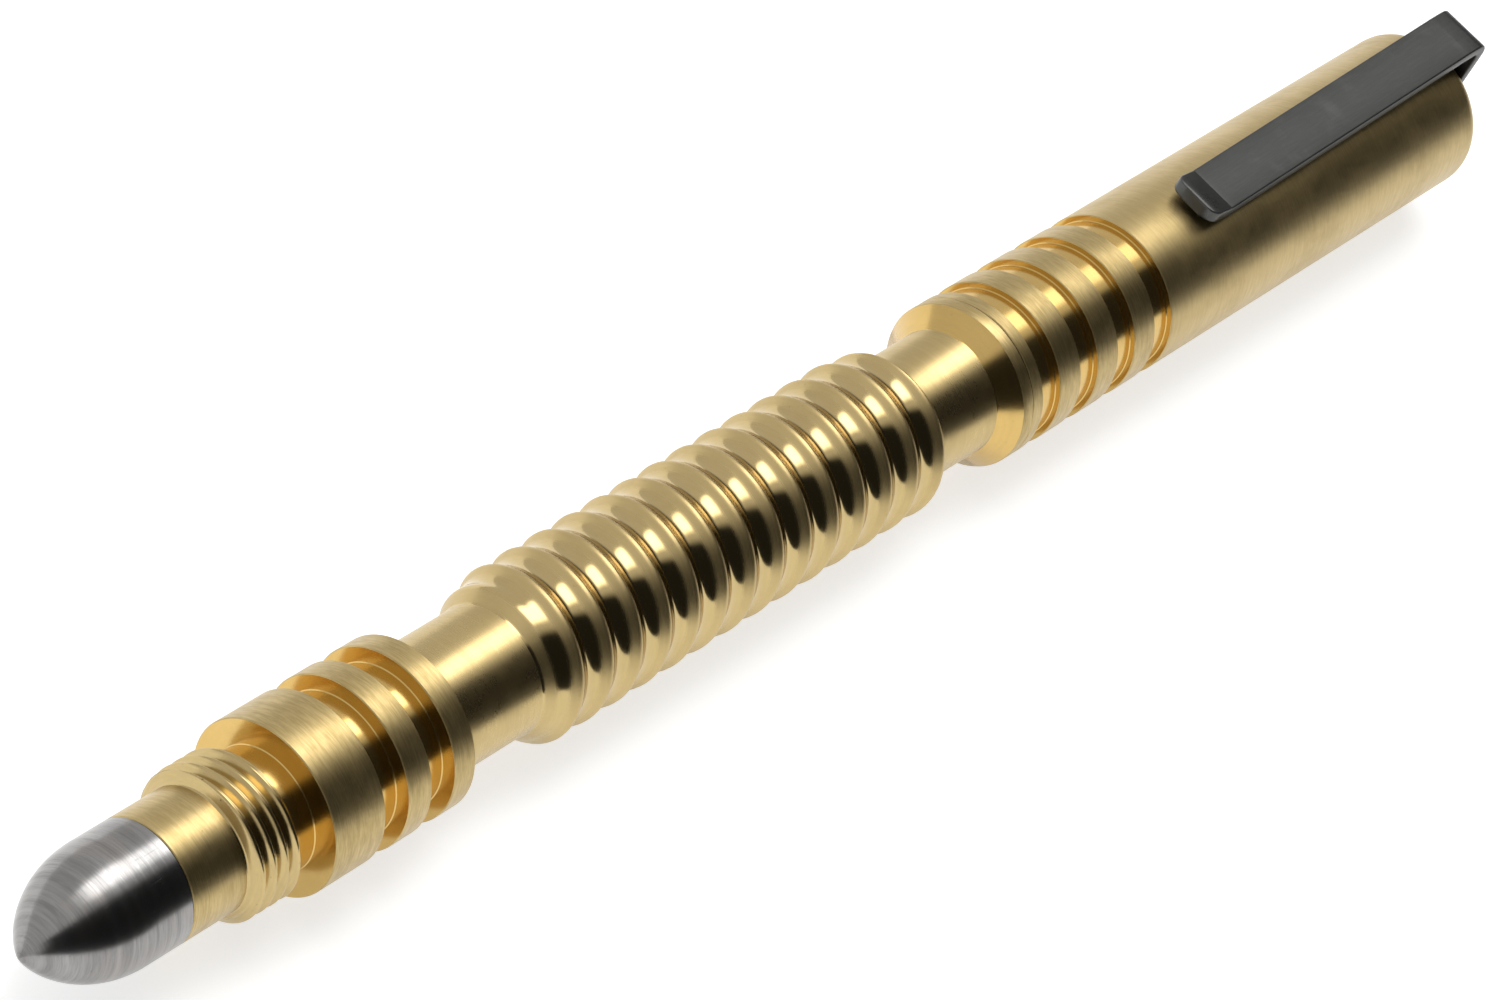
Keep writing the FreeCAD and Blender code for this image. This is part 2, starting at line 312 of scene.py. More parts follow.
def finish_material(tree, inputs, bump=None, depth=0.0):
    """Closes a material with one shader, bumped by a height from 0 to 1 over a depth in metres."""
    if bump is not None:
        height = {"Height": bump, "Distance": depth, "Strength": 1.0}
        inputs["Normal"] = bump.node("ShaderNodeBump", None, height)
    shader = Strand(tree).node("ShaderNodeBsdfPrincipled", None, inputs)
    shader.node("ShaderNodeOutputMaterial", None, {"Surface": shader})


def from_axis(place):
    """The place measured from the pen's own axis, so that marks close up round the pen."""
    return place.node("ShaderNodeVectorMath", {"operation": "SUBTRACT"}, {0: place, 1: (0, 0, AXIS_Z)})


def brass(name, colour, tarnish, rough, ring_scale, ring_depth,
          rough_spread=0.06, spotting=0.0, line_share=0.2, satin_flanks=0.0):
    """Brass with marks that run round the pen, as a tool or a brush leaves them.

    ring_scale is in marks to the metre and ring_depth in millimetres. line_share and spotting say
    how strongly the marks and the dark spots colour it, and satin_flanks how much rougher the
    crests and rear flanks of the ribs are.
    """
    material, tree, place = new_material(name)
    centred = from_axis(place)
    rings = centred.stretched(ring_scale, ring_scale * 0.07).noise(1.0, 4.0, 0.66)
    broad = centred.stretched(ring_scale * 0.3, ring_scale * 0.03).noise(1.0, 2.0)
    cloud = centred.noise(160.0, 3.0)
    handled = centred.noise(900.0, 4.0, 0.6)
    depth = bpy.context.scene.turned_pen_metal.ring_depth
    lines = rings * 0.7 + broad * 0.3
    stain = (cloud * 0.6 + handled * 0.4).span(0.42, 0.68)
    tint = (lines.span(0.36, 0.62) * line_share + stain * 0.18).blend(colour, tarnish)
    if spotting:
        spots = centred.noise(2600.0, 2.0).span(0.70, 0.78) * spotting
        tint = spots.blend(tint, tuple(0.28 * part for part in tarnish))
    roughness = rough + (lines - 0.5) * rough_spread * 2 + (stain * rough_spread)
    if satin_flanks:
        back = 0 - Strand(tree).node("ShaderNodeTexCoord", output="Normal").part("X")
        reach = centred.stretched(0, 1)
        reach = reach.node("ShaderNodeVectorMath", {"operation": "LENGTH"}, {0: reach}, "Value")
        crest = reach.span((GRIP - 0.28) * MM, (GRIP - 0.10) * MM)
        roughness = roughness + back.span(0.40, 0.66).maths("MAXIMUM", crest) * satin_flanks
    inputs = {"Base Color": tint, "Roughness": roughness, "Metallic": 1.0}
    finish_material(tree, inputs, lines, ring_depth * depth * 2 * MM)
    return material


def steel(name, colour):
    """Ground steel with fine rings, darker bands, a few scratches along it and a warm haze."""
    material, tree, place = new_material(name)
    centred = from_axis(place)
    rings = centred.stretched(8000.0, 420.0).noise(1.0, 4.0, 0.68)
    bands = centred.stretched(1500.0, 60.0).noise(1.0, 3.0, 0.6)
    scratches = centred.stretched(260.0, 5200.0, 900.0).noise(1.0, 3.0, 0.7).span(0.62, 0.74)
    cloud = centred.noise(330.0, 3.0)
    warm = tuple(part * share for part, share in zip(colour, (0.98, 0.90, 0.84)))
    tint = (cloud.span(0.42, 0.66) * 0.55).blend(colour, warm)
    marked = scratches * 0.25 + rings.span(0.42, 0.66) * 0.35 + bands.span(0.40, 0.64) * 0.45
    tint = marked.blend(tint, tuple(part * 0.55 for part in colour))
    height = rings * 0.8 + scratches * 0.2
    roughness = 0.13 + rings * 0.10 + cloud * 0.08 + scratches * 0.06
    finish_material(tree, {"Base Color": tint, "Roughness": roughness, "Metallic": 1.0}, height, 0.0018 * MM)
    return material


def coated_steel(name, colour, rough=0.42):
    """Spring steel under a dark matt coat, with a fine grain, rubbed patches, and a painted highlight that
    lightens the turned-up lip.
    """
    material, tree, place = new_material(name)
    grain = place.noise(5200.0, 4.0, 0.7)
    drawn = place.stretched(300.0, 6000.0).noise(1.0, 3.0, 0.6)
    # Painted highlight: the lip mask lightens the coat towards the lip's end, and also makes it smoother
    # there.
    lip = place.part("X").span(POINT_X + (LIP_END + 1.2) * MM, POINT_X + (LIP_END + 3.4) * MM, 1.0, 0.0)
    rub = place.noise(420.0, 4.0, 0.6).span(0.50, 0.72)
    # The lighter tone serves as wear on the rubbed patches and drawn lines, and as the painted highlight on
    # the lip.
    wear_and_highlight = tuple(min(1.0, part * 1.9) for part in colour)
    tint = (rub * 0.16 + drawn.span(0.4, 0.7) * 0.12 + lip * 0.8).blend(colour, wear_and_highlight)
    roughness = rough + (grain - 0.5) * 0.12 - rub * 0.04 - lip * 0.12
    finish_material(tree, {"Base Color": tint, "Roughness": roughness, "Metallic": 0.72},
                    grain * 0.6 + drawn * 0.4, 0.006 * MM)
    return material


def rubber(name):
    """Dusty black rubber."""
    material, tree, place = new_material(name)
    dust = place.noise(2400.0, 4.0, 0.65)
    tint = dust.span(0.45, 0.75).blend((0.018, 0.018, 0.019), (0.055, 0.053, 0.050))
    finish_material(tree, {"Base Color": tint, "Roughness": 0.55 + dust * 0.2}, dust, 0.01 * MM)
    return material


def moulded_plastic(name, colour):
    """Dark plastic with a fine moulded grain."""
    material, tree, place = new_material(name)
    grain = place.noise(3800.0, 3.0)
    tint = grain.span(0.3, 0.7).blend(colour, tuple(part * 1.25 for part in colour))
    finish_material(tree, {"Base Color": tint, "Roughness": 0.34 + grain * 0.16}, grain, 0.004 * MM)
    return material


def bright_metal(name, colour, rough):
    """Drawn or rolled metal with fine lines along the pen."""
    material, tree, place = new_material(name)
    drawn = from_axis(place).stretched(220.0, 5200.0).noise(1.0, 3.0)
    tint = drawn.span(0.35, 0.7).blend(colour, tuple(part * 0.86 for part in colour))
    inputs = {"Base Color": tint, "Roughness": rough + drawn * 0.1, "Metallic": 1.0}
    finish_material(tree, inputs, drawn, 0.0015 * MM)
    return material


def pen_materials():
    """Every finish on the pen, by the name that the outlines use."""
    metal = bpy.context.scene.turned_pen_metal
    pale, deep_and_reflection = tuple(metal.pale_brass), tuple(metal.deep_brass_and_reflection)
    dull = tuple(part * share for part, share in zip(pale, (0.70, 0.68, 0.60)))
    deep_and_reflection_dull = tuple(part * 0.8 for part in deep_and_reflection)
    pale_dark = tuple(part * 0.7 for part in pale)
    return {
        "land": brass("brushed land", pale, dull, 0.34, 12500.0, 0.008, 0.08, line_share=0.8),
        "boss": brass("fine turned boss", pale, dull, 0.30, 11500.0, 0.007, 0.07, 0.4, 0.65),
        # The turned faces and groove floors take the deep tone, which is partly a painted reflection of brass
        # in brass.
        "face": brass("turned groove", deep_and_reflection, deep_and_reflection_dull, 0.17, 6200.0, 0.0006, 0.04, 0.15),
        "neck": brass("satin neck", pale, dull, 0.27, 6500.0, 0.002, 0.05, line_share=0.25),
        "rib": brass("polished rib", pale, dull, 0.12, 5200.0, 0.0009, 0.03, 0.2, 0.12, 0.24),
        "thread": brass("cut thread", pale, pale_dark, 0.17, 8000.0, 0.002, 0.05, 0.7, 0.3),
        "tube": brass("brushed cap", pale, dull, 0.36, 10500.0, 0.007, 0.08, line_share=0.4),
        "bore": brass("plain bore", pale, dull, 0.34, 5200.0, 0.006),
        "point": brass("bright point", deep_and_reflection, pale, 0.16, 7000.0, 0.0015),
        "steel": steel("ground steel", tuple(metal.steel)),
        "clip": coated_steel("coated clip", tuple(metal.clip_coat)),
        "screw": coated_steel("coated screw", tuple(part * 0.9 for part in metal.clip_coat), 0.34),
        "seal": rubber("seal rubber"),
        "tungsten": bright_metal("polished ball", (0.46, 0.46, 0.48), 0.12),
        "drawn": bright_metal("drawn tube", (0.72, 0.72, 0.73), 0.18),
        "wire": bright_metal("spring wire", (0.62, 0.62, 0.63), 0.22),
        "plug": moulded_plastic("moulded plug", (0.12, 0.12, 0.13)),
    }


FINISHES = {}


def finish(name):
    """A finish by name; all of them are made when the first is asked for."""
    if not FINISHES:
        FINISHES.update(pen_materials())
    return FINISHES[name]


# ---------------------------------------------------------------- turning

SMALLEST_CUT = 0.004           # millimetres
GENTLE_BEND = 12               # degrees of an outline's bend that stays as it is


def eased(corners, amount):
    """Cuts a small chamfer of the given width on each corner of an outline of (station, radius, finish)."""
    rows = [corners[0]]
    for before, here, after in zip(corners, corners[1:], corners[2:]):
        into = Vector((here[0] - before[0], here[1] - before[1]))
        away = Vector((after[0] - here[0], after[1] - here[1]))
        cut = min(amount, into.length / 3, away.length / 3)
        if cut < SMALLEST_CUT or into.angle(away) < math.radians(GENTLE_BEND):
            rows.append(here)
            continue
        first = Vector(here[:2]) - into.normalized() * cut
        second = Vector(here[:2]) + away.normalized() * cut
        rows += [(first.x, first.y, here[2]), (second.x, second.y, after[2])]
    return rows + [corners[-1]]


def divided(rows, step, start, end):
    """Adds rows no further apart than step between two stations, on the outside only."""
    fine = [rows[0]]
    for before, here in zip(rows, rows[1:]):
        low, high = sorted((before[0], here[0]))
        pieces = 1
        if here[2] != "bore" and high > start and low < end and high - low > step:
            pieces = math.ceil((high - low) / step)
        for index in range(1, pieces + 1):
            share = index / pieces
            fine.append((before[0] + (here[0] - before[0]) * share,
                         before[1] + (here[1] - before[1]) * share, here[2]))
    return fine


def arc(centre, radius, start, end, pieces, finish_name):
    """Rows along an arc in the plane of station and radius, with angles in degrees."""
    rows = []
    for index in range(pieces + 1):
        angle = math.radians(start + (end - start) * index / pieces)
        rows.append((centre[0] + radius * math.cos(angle), centre[1] + radius * math.sin(angle), finish_name))
    return rows


def soft_min(first, second, width):
    """The smaller of two heights, rounded over where they meet."""
    overlap = max(width - abs(first - second), 0) / width
    return min(first, second) - overlap * overlap * width / 4


def revolve(name, rows, closed=False, cut=None):
    """Turns rows of (station, radius, finish) about the pen's axis.

    A finish belongs to the faces between its row and the one before. cut(station, angle, radius)
    gives the radius left after a helical groove, with the angle right-handed about +X from the top.
    """
    columns = bpy.context.scene.turned_pen_shape.columns
    used = list(dict.fromkeys(row[2] for row in rows))
    points, rings = [], []
    for station, radius, _ in rows:
        x = POINT_X + station * MM
        if radius < 1e-6:
            rings.append([len(points)] * columns)
            points.append((x, 0, AXIS_Z))
            continue
        rings.append(list(range(len(points), len(points) + columns)))
        for column in range(columns):
            angle = 2 * math.pi * column / columns
            left = cut(station, angle, radius) if cut else radius
            points.append((x, -math.sin(angle) * left * MM, AXIS_Z + math.cos(angle) * left * MM))
    faces, slots = [], []
    pairs = list(zip(rings, rings[1:], rows[1:]))
    if closed:
        pairs.append((rings[-1], rings[0], rows[0]))
    for lower, upper, row in pairs:
        for column in range(columns):
            following = (column + 1) % columns
            corners = dict.fromkeys((lower[column], lower[following], upper[following], upper[column]))
            if len(corners) > 2:
                faces.append(list(corners))
                slots.append(used.index(row[2]))
    return mesh_piece(name, points, faces, used, slots)


def mesh_piece(name, points, faces, finishes, slots=None, sharp=32):
    """A piece from its points and faces, facing outwards, smooth except at sharp edges."""
    mesh = bpy.data.meshes.new(name)
    mesh.from_pydata(points, [], faces)
    if slots:
        mesh.polygons.foreach_set("material_index", slots)
    for finish_name in finishes:
        mesh.materials.append(finish(finish_name))
    model = bmesh.new()
    model.from_mesh(mesh)
    bmesh.ops.recalc_face_normals(model, faces=model.faces)
    model.to_mesh(mesh)
    model.free()
    mesh.polygons.foreach_set("use_smooth", [True] * len(mesh.polygons))
    mesh.set_sharp_from_angle(angle=math.radians(sharp))
    soften_helices(mesh, finishes)
    if mesh.validate():
        raise RuntimeError(f"{name} has broken faces")
    piece = bpy.data.objects.new(name, mesh)
    bpy.context.scene.collection.objects.link(piece)
    return piece


def soften_helices(mesh, finishes):
    """Keeps threads and ribs smooth all over, because their crests run across the rows of faces."""
    winding = [index for index, name in enumerate(finishes) if name in ("rib", "thread")]
    if not winding:
        return
    wound = {}
    for face in mesh.polygons:
        for edge in face.edge_keys:
            wound[edge] = wound.get(edge, True) and face.material_index in winding
    for edge in mesh.edges:
        if edge.use_edge_sharp and wound.get(edge.key):
            edge.use_edge_sharp = False


def stand_for(piece, body, slot, *nodes):
    """Lets a piece stand for its CAD nodes, on their body; slot, the record's material slot, is not used."""
    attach(piece, body)
    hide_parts(*nodes)


# ---------------------------------------------------------------- outlines

def thread_cut(start, end, shape):
    """Right-hand V thread between two stations, with crests a little rounded."""
    pitch, depth = shape.thread_pitch / MM, shape.thread_depth / MM
    flat, easing = 0.05, 0.09
    half_groove = pitch * 0.44
    floor = THREAD - depth
    slope = depth / (half_groove - flat)
    first = start + 0.45 + pitch * THREAD_TURN / 360

    def cut(station, angle, radius):
        if not start <= station <= end:
            return radius
        offset = (station - first - pitch * angle / (2 * math.pi)) / pitch
        away = abs(offset - round(offset)) * pitch
        return soft_min(radius, floor + max(away - flat, 0) * slope, easing)
    return cut


def rib_cut(shape):
    """Left-hand round groove of the grip, which runs out on the cone behind the collar."""
    pitch, depth = shape.rib_pitch / MM, shape.rib_depth / MM
    radius_of_groove, easing = shape.rib_radius / MM, shape.rib_crest / MM
    first = RIBS_START + FIRST_RIB + pitch / 2
    centre = GRIP - depth + radius_of_groove

    def cut(station, angle, radius):
        if not GRIP_START < station < GRIP_END + 0.001 or radius < NECK + 0.01:
            return radius
        offset = (station - first + pitch * angle / (2 * math.pi)) / pitch
        away = (offset - round(offset)) * pitch
        inside = radius_of_groove ** 2 - away ** 2
        if inside <= 0:
            return radius
        return soft_min(radius, centre - math.sqrt(inside), easing)
    return cut


def barrel_corners():
    """Outline of the barrel, from the rear mouth of its bore along the outside and back."""
    rows = [(BOSS_START, BORE, "bore"), (BOSS_START, BOSS, "face"), (THREAD_START, BOSS, "boss")]
    rows += [(THREAD_START + LEAD_IN, THREAD, "thread"), (THREAD_END, THREAD, "thread")]
    rows += [(THREAD_END + LEAD_IN, RELIEF, "thread"), (COLLAR_START, RELIEF, "face")]
    station = COLLAR_START
    for land in COLLAR_LANDS:
        rows += [(station, BAR, "face"), (station + land, BAR, "land")]
        groove_end = station + land + COLLAR_GROOVE
        if groove_end < COLLAR_END:
            rows += [(station + land, GROOVE, "face"), (groove_end, GROOVE, "face")]
        station = groove_end
    rows += [(COLLAR_END, NECK, "face"), (GRIP_START, NECK, "neck"), (RIBS_START, GRIP, "rib")]
    rows += [(GRIP_END - GRIP_CHAMFER, GRIP, "rib"), (GRIP_END, GRIP - GRIP_CHAMFER, "rib")]
    rows += [(GRIP_END, NECK, "rib"), (FLANGE_START, NECK, "neck")]
    rows += [(FLANGE_EDGE, BAR, "face"), (FLANGE_END, BAR, "land")]
    rows += [(FLANGE_END, RELIEF, "face"), (FRONT_THREAD_START, RELIEF, "face")]
    rows += [(FRONT_THREAD_START + LEAD_IN, THREAD, "thread"), (FRONT_THREAD_END - LEAD_IN, THREAD, "thread")]
    rows += [(FRONT_THREAD_END, SEAL_BOSS, "thread"), (CAP_SEAL - SEAL_GROOVE, SEAL_BOSS, "boss")]
    rows += [(CAP_SEAL - SEAL_GROOVE, SEAL_FLOOR, "face"), (CAP_SEAL + SEAL_GROOVE, SEAL_FLOOR, "face")]
    rows += [(CAP_SEAL + SEAL_GROOVE, SEAL_BOSS, "face"), (SEAL_BOSS_END, SEAL_BOSS, "boss")]
    rows += [(SEAL_BOSS_END, NOSE, "face"), (NOSE_TAPER, NOSE, "neck"), (NOSE_END, NOSE_TIP, "neck")]
    rows += [(NOSE_END, POINT_BORE, "face"), (POINT_SEAT, POINT_BORE, "bore"), (POINT_SEAT, BORE, "bore")]
    return rows + [(BOSS_START, BORE, "bore")]


def cap_outside():
    """Outline of the cap's outside, from its mouth over the grooves and the rounded end."""
    rows = [(CAP_START, CAP_MOUTH, "bore"), (CAP_START, BAR, "face")]
    groove = CAP_START + CAP_FIRST_LAND
    floor = BAR - CAP_GROOVE_DEPTH
    for _ in range(CAP_GROOVES):
        groove_end = groove + CAP_GROOVE_WIDTH
        rows += [(groove, BAR, "land"), (groove, floor, "face")]
        rows += [(groove_end, floor, "face"), (groove_end, BAR, "face")]
        groove += CAP_GROOVE_PITCH
    rows = eased(rows + [(CAP_END - CAP_ROUND, BAR, "tube")], bpy.context.scene.turned_pen_shape.edge / MM)
    return rows + arc((CAP_END - CAP_ROUND, BAR - CAP_ROUND), CAP_ROUND, 90, 0, 8, "tube")[1:]


def cap_inside():
    """Outline of the cap's screw hole, then of its bore from the bottom to the mouth."""
    hole, bottom, step = CAP_END - SCREW_LENGTH - GAP, CAP_END - CAP_END_WALL, FRONT_THREAD_END + GAP
    rows = [(CAP_END, SCREW, "tube"), (hole, SCREW, "bore"), (hole, 0, "bore"), (bottom, 0, "bore")]
    return rows + [(bottom, CAP_BORE, "bore"), (step, CAP_BORE, "bore"), (step, CAP_MOUTH, "bore")]


class TURNEDPEN_OT_barrel(bpy.types.Operator):
    """Turn the barrel: boss, threads, collar, ribbed grip, flange and nose"""

    bl_idname = "turned_pen.barrel"
    bl_label = "Barrel"

    def execute(self, context):
        shape = context.scene.turned_pen_shape
        rows = eased(barrel_corners(), shape.edge / MM)
        thread_step, rib_step = 0.055, 0.12
        rear_end = THREAD_END + LEAD_IN + 0.01
        rows = divided(rows, thread_step, THREAD_START, rear_end)
        rows = divided(rows, rib_step, GRIP_START, GRIP_END)
        rows = divided(rows, thread_step, FRONT_THREAD_START, FRONT_THREAD_END)
        rear = thread_cut(THREAD_START, rear_end, shape)
        front = thread_cut(FRONT_THREAD_START, FRONT_THREAD_END, shape)
        ribs = rib_cut(shape)

        def cut(station, angle, radius):
            if radius <= RELIEF + 0.01:
                return radius
            return front(station, angle, rear(station, angle, ribs(station, angle, radius)))

        barrel = revolve("barrel_body", rows[:-1], closed=True, cut=cut)
        stand_for(barrel, "barrel", "brass", "barrel")
        return {"FINISHED"}


class TURNEDPEN_OT_striking_tip(bpy.types.Operator):
    """Turn the steel striking tip with its shank, and its seal"""

    bl_idname = "turned_pen.striking_tip"
    bl_label = "Striking Tip"

    def execute(self, context):
        radius = (BOSS ** 2 + OGIVE ** 2) / (2 * BOSS)
        sweep = math.degrees(math.asin(OGIVE / radius))
        rows = [(0, 0, "steel")] + arc((OGIVE, BOSS - radius), radius, 90 + sweep, 90, 72, "steel")[1:]
        head, shank = BOSS_START - GAP, BORE - RUNNING_GAP
        floor, rear, front = TIP_SEAL_FLOOR, TIP_SEAL - TIP_SEAL_GROOVE, TIP_SEAL + TIP_SEAL_GROOVE
        corners = [rows[-1], (head, BOSS, "steel"), (head, shank, "steel"), (rear, shank, "steel")]
        corners += [(rear, floor, "steel"), (front, floor, "steel"), (front, shank, "steel")]
        corners += [(SHANK_END, shank, "steel"), (SHANK_END, 0, "steel")]
        tip = revolve("striking_point", rows[:-1] + eased(corners, 0.04))
        stand_for(tip, "striking_tip", "steel", "striking_tip")
        seal = revolve("tip_ring", arc((TIP_SEAL, 2.57), 0.45, 0, 345, 23, "seal"), closed=True)
        stand_for(seal, "tip_seal", "seal", "tip_seal")
        return {"FINISHED"}


class TURNEDPEN_OT_cap(bpy.types.Operator):
    """Turn the cap with its grooves, rounded end and bores, and its seal"""

    bl_idname = "turned_pen.cap"
    bl_label = "Cap"

    def execute(self, context):
        cap = revolve("cap_tube", cap_outside() + cap_inside(), closed=True)
        stand_for(cap, "cap", "brass", "cap")
        seal = revolve("cap_ring", arc((CAP_SEAL, 4.80), 0.50, 0, 345, 23, "seal"), closed=True)
        stand_for(seal, "cap_seal", "seal", "cap_seal")
        return {"FINISHED"}


class TURNEDPEN_OT_writing_point(bpy.types.Operator):
    """Turn the writing point and its ball, and finish the refill's tube, plug and spring"""

    bl_idname = "turned_pen.writing_point"
    bl_label = "Writing Point"

    def execute(self, context):
        end = round(station_of(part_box("refill_point")[1].x), 3)
        seat = round(station_of(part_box("refill_point")[0].x), 3)
        centre = station_of((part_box("writing_ball")[0].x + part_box("writing_ball")[1].x) / 2)
        socket = arc((centre, 0), BALL + RUNNING_GAP, 57, 180, 12, "point")
        rows = [(seat, 0, "point"), (seat, POINT, "point"), (end - 2.2, POINT, "point"), (end, 0.62, "point")]
        socket = [row for row in socket if row[0] < end - 0.02]
        socket[-1] = (socket[-1][0], 0, "point")
        point = revolve("writing_cone", eased(rows, 0.05) + socket)
        stand_for(point, "barrel", "brass_point", "refill_point")
        globe = arc((centre, 0), BALL, 180, 0, 24, "tungsten")
        globe[0], globe[-1] = (globe[0][0], 0, "tungsten"), (globe[-1][0], 0, "tungsten")
        ball = revolve("writing_globe", globe)
        stand_for(ball, "writing_ball", "ball", "writing_ball")
        for node, name in (("refill_tube", "drawn"), ("refill_plug", "plug"), ("refill_spring", "wire")):
            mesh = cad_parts[node].data
            mesh.materials.clear()
            mesh.materials.append(finish(name))
        return {"FINISHED"}


# ---------------------------------------------------------------- clip

def rounded_path(corners, pieces=8):
    """Points of (station, height) with each inner corner of (station, height, bend radius) rounded."""
    points = [Vector(corners[0][:2])]
    for before, here, after in zip(corners, corners[1:], corners[2:]):
        corner = Vector(here[:2])
        back, ahead = (Vector(before[:2]) - corner).normalized(), (Vector(after[:2]) - corner).normalized()
        half = back.angle(ahead) / 2
        reach = here[2] / math.tan(half)
        centre = corner + (back + ahead).normalized() * (here[2] / math.sin(half))
        start, end = corner + back * reach - centre, corner + ahead * reach - centre
        for index in range(pieces + 1):
            share = index / pieces
            swing = (start * (1 - share) + end * share).normalized() * here[2]
            points.append(centre + swing)
    return points + [Vector(corners[-1][:2])]


def strip_section(half_width, half_thick, ease):
    """Corner points of the clip's section, as (across, up), going round once."""
    points = []
    for quarter, (across, up) in enumerate(((1, 1), (-1, 1), (-1, -1), (1, -1))):
        for step in range(4):
            angle = math.radians(90 * quarter + 30 * step)
            points.append((across * (half_width - ease) + ease * math.cos(angle),
                           up * (half_thick - ease) + ease * math.sin(angle)))
    return points


def clip_path():
    """Middle of the bent strip: foot on the cap's end, bend, springy arm, contact bend and turned-up lip."""
    top = (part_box("clip_foot")[1].z - AXIS_Z) / MM - CLIP_HALF
    foot = (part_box("clip_foot")[0].z - AXIS_Z) / MM
    low = (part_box("clip_arm")[0].z - AXIS_Z) / MM + CLIP_HALF
    back = CLIP_END - CLIP_HALF
    path = rounded_path([(back, foot), (back, top, 1.1), (CLIP_ROOT, top, 6.0),
                         (LIP_END + LIP_LENGTH, low, 0.9), (LIP_END, low + LIP_RISE)])
    dense = [path[0]]
    for here in path[1:]:
        start = dense[-1].copy()
        pieces = max(1, math.ceil((here - start).length))
        dense += [start.lerp(here, (index + 1) / pieces) for index in range(pieces)]
    return dense


def clip_strip():
    """The strip along its path, with the corners of its lip rounded."""
    corner, steps = 1.05, 8
    path = clip_path()
    end = path[-1]
    tail = (end - path[-2]).normalized()
    body = [point for point in path if (point - end).length > corner]
    for index in range(steps + 1):
        body.append(end - tail * corner * math.cos(math.radians(90 * index / steps)))
    points, rings = [], []
    for index, here in enumerate(body):
        along = (body[min(index + 1, len(body) - 1)] - body[max(index - 1, 0)]).normalized()
        if index >= len(body) - steps:
            along = tail
        gap = min(corner, (end - here).length)
        narrow = corner - math.sqrt(max(corner ** 2 - (corner - gap) ** 2, 0))
        section = strip_section(CLIP_HALF_WIDTH - narrow, CLIP_HALF, 0.14)
        rings.append(range(len(points), len(points) + len(section)))
        for across, up in section:
            place = here - Vector((-along.y, along.x)) * up
            points.append((POINT_X + place.x * MM, across * MM, AXIS_Z + place.y * MM))
    faces = [tuple(rings[0]), tuple(reversed(rings[-1]))]
    for lower, upper in zip(rings, rings[1:]):
        for index in range(len(lower)):
            following = (index + 1) % len(lower)
            faces.append((lower[index], lower[following], upper[following], upper[index]))
    return mesh_piece("pocket_clip", points, faces, ["clip"], sharp=40)


def drilled(piece, cutter):
    """Takes the cutter out of the piece for good."""
    modifier = piece.modifiers.new("drill", "BOOLEAN")
    modifier.operation, modifier.object, modifier.solver = "DIFFERENCE", cutter, "EXACT"
    bpy.context.view_layer.update()
    source = piece.evaluated_get(bpy.context.evaluated_depsgraph_get())
    mesh = bpy.data.meshes.new_from_object(source)
    piece.modifiers.remove(modifier)
    piece.data = mesh
    bpy.data.objects.remove(cutter)
    mesh.set_sharp_from_angle(angle=math.radians(40))


class TURNEDPEN_OT_clip(bpy.types.Operator):
    """Bend the clip from one strip and drill its foot for the screw"""

    bl_idname = "turned_pen.clip"
    bl_label = "Clip"

    def execute(self, context):
        clip = clip_strip()
        hole, head = SCREW + RUNNING_GAP, SCREW_HEAD + RUNNING_GAP
        below, above = CAP_END - 0.4, CLIP_END + 0.3
        sink = [(below, 0, "clip"), (below, hole, "clip"), (CAP_END, hole, "clip")]
        sink += [(CLIP_END, head, "clip"), (above, head + 0.25, "clip"), (above, 0, "clip")]
        drilled(clip, revolve("countersink", sink))
        if len(clip.data.polygons) < 100:
            raise RuntimeError("the clip's foot could not be drilled")
        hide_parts("clip_foot", "clip_arm")
        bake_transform(clip)
        return {"FINISHED"}


class TURNEDPEN_OT_clip_screw(bpy.types.Operator):
    """Turn the countersunk screw with its six-sided socket"""

    bl_idname = "turned_pen.clip_screw"
    bl_label = "Clip Screw"

    def execute(self, context):
        flat = SOCKET * math.cos(math.radians(30))
        floor, foot = CLIP_END - SOCKET_DEPTH, CAP_END - SCREW_LENGTH
        corners = [(foot, 0, "screw"), (foot, SCREW, "screw"), (CAP_END, SCREW, "screw")]
        corners += [(CLIP_END, SCREW_HEAD, "screw"), (CLIP_END, SOCKET + 0.10, "screw")]
        rows = eased(corners, 0.05)
        rows += [(CLIP_END - 0.08, SOCKET, "screw"), (floor, SOCKET, "screw"), (floor + 0.02, 0, "screw")]

        def cut(station, angle, radius):
            if abs(radius - SOCKET) > 1e-6 or station < floor - 0.01:
                return radius
            turn = (angle + math.radians(30)) % math.radians(60) - math.radians(30)
            return flat / math.cos(turn)

        screw = revolve("foot_screw", rows, cut=cut)
        stand_for(screw, "cap", "screw", "clip_screw")
        return {"FINISHED"}


# ---------------------------------------------------------------- stage

def paper_material(colour):
    """Plain matt paper, bright enough on its own to keep the shadow faint."""
    material, tree, place = new_material("plain paper")
    tooth = place.noise(900.0, 4.0, 0.6)
    tint = (tooth.span(0.3, 0.7) * 0.5).blend(colour, tuple(part * 0.985 for part in colour))
    finish_material(tree, {"Base Color": tint, "Roughness": 0.9, "Specular IOR Level": 0.05,
                           "Emission Color": (1, 1, 1, 1), "Emission Strength": 0.70}, tooth, 0.01 * MM)
    return material


